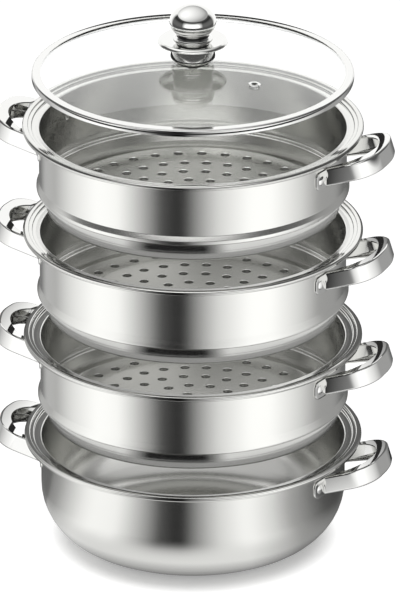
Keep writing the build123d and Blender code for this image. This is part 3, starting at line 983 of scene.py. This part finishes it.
cap_line = [Vector((cap_line_radius, cap_bottom))]
cap_line += arc((side_centre, cap_bottom), side_bend, 0, crown_turn, 14)
cap_line += arc((0, cap_bottom - crown_drop), cap_rise + crown_drop, crown_turn, math.pi / 2, 24)
knob_part("knob_ball_cap", sheet_section(cap_line, cap_sheet), "knob_cap")

# %% [markdown]
# ## What stays from the CAD model
# The screw, its washer and sleeve and the two clamping seals are the right shape already and are
# mostly hidden, so they only get their real finish.

# %% Materials for the small fittings
fittings = {"knob_screw": bright_steel, "knob_washer": bright_steel, "knob_spacer": bright_steel,
            "knob_upper_gasket": black_silicone, "knob_lower_gasket": black_silicone}
for name, material in fittings.items():
    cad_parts[name].data.materials.clear()
    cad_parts[name].data.materials.append(material)
shown_nodes = sorted(name for name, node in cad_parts.items() if not node.hide_render)
print("CAD nodes that show", shown_nodes)

# %% [markdown]
# ## The table
# The set stands on white card with some light of its own, so that it shows nearly white. The glow
# fades close to the object as a painted contact shadow. Sizes in the studio are in metres.

# %% Floor
floor_half, shadow_reach = 6, 0.022
painted_shadow, open_air = (0.3, 0.33), (0.9, 0.9)   # how open the sky is over the card, and its glow


def stage_object(name, mesh, material):
    """A thing of the studio that isn't part of the object."""
    mesh.materials.append(material)
    thing = in_scene(name, mesh)
    return thing


def glowing(tree, strength):
    """A white glow."""
    return add(tree, "Emission", {"Color": white, "Strength": strength})


def floor_finish():
    """Matt white card with light of its own, which fades close to the object as painted shadow."""
    material, tree = new_material("white_card")
    card = add(tree, "BsdfDiffuse", {"Color": linear("f4f4f3")})
    nearby = add(tree, "AmbientOcclusion", {"Distance": shadow_reach}, "AO", samples=16)
    # Painted contact shadow: the card's glow drops where the object is near.
    glow = glowing(tree, remap(tree, nearby, painted_shadow[0], open_air[0], painted_shadow[1], open_air[1]))
    show(tree, add(tree, "AddShader", {0: card, 1: glow}))
    return material


floor_signs = ((-1, -1), (1, -1), (1, 1), (-1, 1))
floor_corners = [(x * floor_half, y * floor_half, 0) for x, y in floor_signs]
stage_object("floor", listed_mesh("floor", floor_corners, faces=[(0, 1, 2, 3)]), floor_finish())
print("floor", 2 * floor_half, "m wide")

# %% [markdown]
# ## The light tent
# Polished steel is only as good as what it reflects. A photographer stands such pots in a tent of
# white diffusers with a gap for the lens, and the gap is the dark band down the middle of each
# wall. The tent here is seen only by reflections, so it neither hides the object nor lights the
# table. Its brightness changes round the axis, in lists of degrees from the lens and levels, and
# with the height: the sides, a dark rail above them, the upper sides that the lid and the knob
# reflect, and a ceiling that is brightest under its lamp.

# %% Tent finish
camera_turn = math.radians(15.5)
side_levels = [
    (-180, 1.0), (-168, 1.0), (-158, 0.15), (-135, 0.1), (-121, 0.4), (-104, 0.36), (-84, 0.72),
    (-62, 1.0), (-46, 0.95), (-30, 0.42), (-19, 0.05), (-9, 0.0), (-5, 0.01), (5, 0.34), (15, 0.66),
    (34, 1.0), (48, 1.0), (70, 0.66), (88, 0.3), (110, 0.28), (128, 0.1), (156, 0.1), (168, 1.0),
    (179, 1.0)]
upper_levels = [(-180, 0.3), (-120, 0.08), (-52, 0.08), (-30, 1.0), (22, 1.0), (48, 0.08),
                (120, 0.08), (179, 0.3)]
table_levels = [(-180, 0.25), (-125, 0.25), (-95, 0.55), (-70, 0.9), (28, 1.0), (60, 0.4),
                (100, 0.15), (179, 0.25)]
tent_radius, tent_floor, tent_top, tent_light = 0.33, 0.003, 0.74, 1.6
rail_bottom, rail_top, wall_top, table_top = 0.40, 0.47, 0.67, 0.02
upper_light, rear_level, dark_level = 1.4, 0.85, 0.05
rear_start, rear_full, fade_bottom, rail_blend = -0.12, -0.2, 0.56, 0.01
pot_edge, shade_edge, open_edge, shade_levels = 0.1, 0.14, 0.23, (0.02, 0.7)
ceiling_lamp = (-0.12, -0.02, tent_top - 0.001)
spot_core, spot_edge, spot_rest = 0.05, 0.36, 0.3


def ramp_round(tree, turn, levels):
    """Brightness that changes round the axis. Levels are given by degrees from the lens."""
    ramp = node(tree, "ValToRGB", {"Fac": remap(tree, turn, -math.pi, math.pi)})
    stops = ramp.color_ramp.elements
    lens = math.degrees(camera_turn) - 90
    shares = sorted((((lens + degrees + 540) % 360) / 360, level) for degrees, level in levels)
    while len(stops) > 1:
        stops.remove(stops[-1])
    for place, (share, level) in enumerate(shares):
        stop = stops[0] if place == 0 else stops.new(share)
        stop.position = share
        stop.color = (level, level, level, 1)
    return ramp.outputs["Color"]


def tent_finish():
    """Diffuser cloth: a dark gap at the lens between lit sides, and a white rear above."""
    material, tree = new_material("diffuser_cloth")
    turn, reach, height = round_coordinates(tree)
    place = object_place(tree)
    lens_way = (math.sin(camera_turn), -math.cos(camera_turn), 0)
    forward = add(tree, "VectorMath", {0: place, 1: lens_way}, "Value", operation="DOT_PRODUCT")
    behind = remap(tree, forward, rear_start, rear_full)

    on_rail = maths(tree, "LESS_THAN", height, rail_top)
    railed = mix(tree, on_rail, ramp_round(tree, turn, upper_levels), dark_level)
    fade = remap(tree, height, fade_bottom, wall_top, 1.0, dark_level)
    front = times(tree, times(tree, railed, fade), upper_light)
    upper = mix(tree, behind, front, rear_level)
    above_sides = remap(tree, height, rail_bottom, rail_bottom + rail_blend)
    wall = mix(tree, above_sides, ramp_round(tree, turn, side_levels), upper)

    under = remap(tree, reach, pot_edge, shade_edge, *shade_levels)
    away = remap(tree, reach, shade_edge, open_edge, interpolation_type="SMOOTHSTEP")
    on_table = maths(tree, "LESS_THAN", height, table_top)
    table_share = mix(tree, on_table, 1.0, ramp_round(tree, turn, table_levels))
    lower = times(tree, mix(tree, away, under, wall), table_share)

    from_lamp = add(tree, "VectorMath", {0: place, 1: ceiling_lamp}, "Value", operation="DISTANCE")
    spot = remap(tree, from_lamp, spot_core, spot_edge, 1.0, spot_rest)
    crown = mix(tree, behind, dark_level, rear_level)
    top = mix(tree, maths(tree, "GREATER_THAN", height, ceiling_lamp[2]), crown, spot)
    cloth = mix(tree, maths(tree, "GREATER_THAN", height, wall_top), lower, top)
    show(tree, glowing(tree, times(tree, cloth, tent_light)))
    return material


cloth = tent_finish()
print("nodes in the cloth", len(cloth.node_tree.nodes))

# %% The tent


def only_in_reflections(thing):
    """Let glossy rays see a thing of the studio, and nothing else."""
    thing.visible_camera = False
    thing.visible_diffuse = False
    thing.visible_shadow = False
    thing.visible_transmission = False


tent_middle = Matrix.Translation((0, 0, (tent_top + tent_floor) / 2))
tent_mesh = drum_mesh("tent", tent_radius, tent_top - tent_floor, 96, tent_middle)
only_in_reflections(stage_object("light_tent", tent_mesh, cloth))
print("faces of the tent", len(tent_mesh.polygons))

# %% [markdown]
# ## Reflector cards
# Small cards put the finer accents where a tent can't. A photographer would hold them in the gaps
# between the pieces: lit cards under the baskets, black ones that draw the thin dark lines along
# the rims and the band. They are flat rings, given by two radii and a height in millimetres.

# %% Cards
ring_segments = 96


def card_finish(name, from_above, from_below):
    """A card's glow on each face: a level, levels round the axis, or None to see through it."""
    material, tree = new_material(name)
    turn = round_coordinates(tree)[0]
    faces = []
    for level in (from_above, from_below):
        if level is None:
            faces.append(add(tree, "BsdfTransparent"))
        else:
            bright = ramp_round(tree, turn, level) if isinstance(level, list) else level
            faces.append(glowing(tree, bright))
    facing = add(tree, "NewGeometry", out="Backfacing")
    show(tree, add(tree, "MixShader", {0: facing, 1: faces[0], 2: faces[1]}))
    return material


def flat_ring(name, inner, outer, level, material):
    """A level card between two radii, seen only in reflections. It faces upwards."""
    turns = [math.tau * place / ring_segments for place in range(ring_segments)]
    corners = [(radius * MM * math.cos(turn), radius * MM * math.sin(turn), level * MM)
               for radius in (inner, outer) for turn in turns]
    quads = []
    for place in range(ring_segments):
        after = (place + 1) % ring_segments
        quads.append((place, ring_segments + place, ring_segments + after, after))
    only_in_reflections(stage_object(name, listed_mesh(name, corners, faces=quads), material))


lit_card = card_finish("lit_underneath", 0.0, [(-180, 0.7), (-60, 0.5), (0, 0.6), (60, 1.1),
                                               (120, 1.2), (179, 0.7)])
shoulder_card = card_finish("black_at_the_lens", [
    (-180, 1.0), (-30, 1.0), (-25, 0.5), (-19, 0.0), (5, 0.0), (9, 0.3), (15, 1.0),
    (179, 1.0)], None)
foot_card = card_finish("grey_on_top", 0.42, None)
dark_above = card_finish("dark_on_top", 0.03, None)
dark_below = card_finish("dark_underneath", None, 0.03)
basket_cards = {"card": (0.5, 118, -82, lit_card), "foot_flag": (146, 157, -92, foot_card),
                "shoulder_flag": (141.5, 151, -77, shoulder_card)}
rim_cards = {"low_line": (164, 168, -6, dark_above), "high_line": (164, 170, 6, dark_below),
             "riser_line": (142, 147.7, -0.85, dark_above),
             "curl_line": (149, 151.1, 1.1, dark_above)}
band_cards = {"low_line": (155, 158.5, -4, dark_above), "high_line": (155, 161, 9, dark_below)}
knob_cards = {"flag": (21, 46, 1, dark_above)}
card_count = 0
for places, cards in ((baskets, basket_cards), (vessels, rim_cards),
                      ({"band": lid_level}, band_cards), ({"knob": glass_top}, knob_cards)):
    for name, level in places.items():
        for title, (inner, outer, height, material) in cards.items():
            flat_ring(f"{name}_{title}", inner, outer, level + height, material)
            card_count += 1
print("cards", card_count)

# %% [markdown]
# ## World and lamp
# The lens, reflections and glass see a white backdrop. Matt things are lit by a dim room and one
# soft lamp from above.

# %% World and lamp
room_level, backdrop_level = 0.15, 1.0
lamp_place, lamp_aim, lamp_size, lamp_power = Vector((-0.1, -0.1, 1.9)), Vector((0, 0, 0.2)), 1.4, 6

world = bpy.data.worlds.new("studio_world")
bpy.context.scene.world = world
world.use_nodes = True
sky = world.node_tree
sky.nodes.clear()
path = node(sky, "LightPath").outputs
plain = maths(sky, "MAXIMUM", path["Is Camera Ray"], path["Is Glossy Ray"])
shown = maths(sky, "MAXIMUM", plain, path["Is Transmission Ray"])
room, backdrop = [add(sky, "Background", {"Color": white, "Strength": level})
                  for level in (room_level, backdrop_level)]
mixed = add(sky, "MixShader", {0: shown, 1: room, 2: backdrop})
node(sky, "OutputWorld", {"Surface": mixed})

softbox = bpy.data.lights.new("top_softbox", "AREA")
softbox.shape, softbox.size, softbox.energy = "SQUARE", lamp_size, lamp_power
lamp = in_scene("top_softbox", softbox)
lamp.location = lamp_place
lamp.rotation_euler = (lamp_aim - lamp_place).to_track_quat("-Z", "Y").to_euler()
lamp.visible_glossy = False
print("nodes in the world", len(sky.nodes), "lamp power", softbox.energy, "W")

# %% [markdown]
# ## The camera
# One camera was fitted to the rims in the photo: it stands 8 m away with a long lens, 23 degrees
# above the table and 15.5 degrees to the right of the front.

# %% Camera
camera_height, camera_distance, camera_lens = math.radians(22.93), 8.0, 514.0
aim_height, aim_shift = 0.2332, 0.0065
level_way = math.cos(camera_height)
away = Vector((math.sin(camera_turn) * level_way, -math.cos(camera_turn) * level_way,
               math.sin(camera_height)))
sideways = Vector((math.cos(camera_turn), math.sin(camera_turn), 0))
aim = Vector((0, 0, aim_height)) + sideways * aim_shift
camera_data = bpy.data.cameras.new("camera")
camera_data.lens, camera_data.clip_end = camera_lens, 100
camera = in_scene("camera", camera_data)
camera.location = aim + away * camera_distance
camera.rotation_euler = (-away).to_track_quat("-Z", "Y").to_euler()
bpy.context.scene.camera = camera
bpy.context.scene.view_settings.view_transform = "Standard"
print("camera at", [round(value, 3) for value in camera.location])
